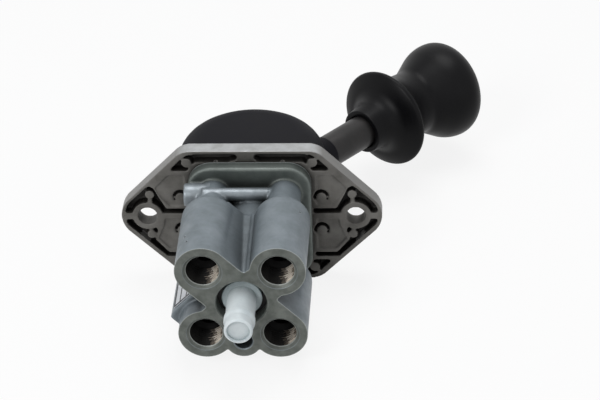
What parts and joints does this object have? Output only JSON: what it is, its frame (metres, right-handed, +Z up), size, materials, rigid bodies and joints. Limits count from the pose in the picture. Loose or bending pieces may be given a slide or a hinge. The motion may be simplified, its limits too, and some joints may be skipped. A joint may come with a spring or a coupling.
{
  "type": "hand brake valve",
  "caption": "Panel-mounted air valve with a ribbed hexagonal flange, a half-drum hood and a sprung lever with a collared grip; threaded ports face the rear.",
  "frame": {"origin": "middle of the flange mounting face, midway between the two bolt holes", "axes": "+Y out of the panel to the driver, +Z up, +X along the bolt holes towards the leaning lever; the ports look along -Y"},
  "size_m": [0.1728, 0.2388, 0.07],
  "materials": {
    "bare_casting": "bare die casting",
    "black_moulding": "fine grained black polyamide",
    "body_casting": "shot-blasted die casting",
    "brass": "turned",
    "bronze": "sintered bronze",
    "dark_tube": "blackened steel",
    "gasket_fibre": "fibre sheet",
    "grip_plastic": "satin black moulding",
    "label_film": "blank foil",
    "milky_plastic": "translucent polyethylene",
    "plated_steel": "zinc-plated",
    "seal_rubber": "moulded",
    "spring_steel": "oiled spring steel"
  },
  "bodies": {
    "housing": {"flange_plate": "bare_casting", "upper_gate_plate": "plated_steel", "lower_gate_plate": "plated_steel", "gate_screws": "plated_steel", "hood": "black_moulding", "hood_screws": "plated_steel", "body_screws": "plated_steel", "pivot_pin": "plated_steel", "pivot_clips": "plated_steel", "valve_body": "body_casting", "body_gasket": "gasket_fibre", "channel_plug": "plated_steel", "blank_plate": "label_film", "valve_guide": "brass", "guide_seal": "seal_rubber", "guide_clip": "plated_steel", "exhaust_collar": "plated_steel", "exhaust_nozzle": "milky_plastic", "tappet_guide": "brass", "return_spring": "spring_steel"},
    "lever": {"lever_hub": "bare_casting", "pivot_bushes": "bronze", "lever_tube": "dark_tube", "lever_cuff": "black_moulding", "dust_shutter": "black_moulding", "cam": "plated_steel", "cam_dowel": "plated_steel", "rod_guide": "bronze"},
    "grip": {"grip": "grip_plastic", "pull_rod": "plated_steel", "lock_pin": "plated_steel", "lock_spring": "spring_steel"},
    "tappet": {"tappet": "plated_steel", "spring_seat": "plated_steel", "seat_clip": "plated_steel", "graduating_spring": "spring_steel"},
    "piston": {"graduating_piston": "brass", "piston_seal": "seal_rubber"},
    "inlet_valve": {"inlet_valve": "brass", "valve_spring": "spring_steel"}
  },
  "joints": [
    {"name": "lever_swing", "type": "hinge", "parent": "housing", "child": "lever", "pos_m": [0, 0.01, 0], "axis": [0, 0, 1], "range_deg": [0, 72], "stiffness_Nm_per_rad": 0.6, "springref_deg": -20.05, "deforming": ["return_spring"]},
    {"name": "grip_lift", "type": "slide", "parent": "lever", "child": "grip", "axis": [0.6361, 0.7716, 0], "range_m": [0, 0.006], "stiffness_N_per_m": 1500, "springref_m": -0.006, "deforming": ["lock_spring"]},
    {"name": "tappet_slide", "type": "slide", "parent": "housing", "child": "tappet", "axis": [0, 1, 0], "range_m": [0, 0.00585], "deforming": ["graduating_spring"]},
    {"name": "piston_slide", "type": "slide", "parent": "housing", "child": "piston", "axis": [0, 1, 0], "range_m": [0, 0.0026]},
    {"name": "inlet_slide", "type": "slide", "parent": "housing", "child": "inlet_valve", "axis": [0, 1, 0], "range_m": [0, 0.0011], "deforming": ["valve_spring"]}
  ],
  "couplings": [
    {"joint": "tappet_slide", "follows": "lever_swing", "m_per_rad": 0.0045},
    {"joint": "piston_slide", "follows": "lever_swing", "m_per_rad": 0.001989},
    {"joint": "inlet_slide", "follows": "lever_swing", "m_per_rad": 0.000796}
  ]
}
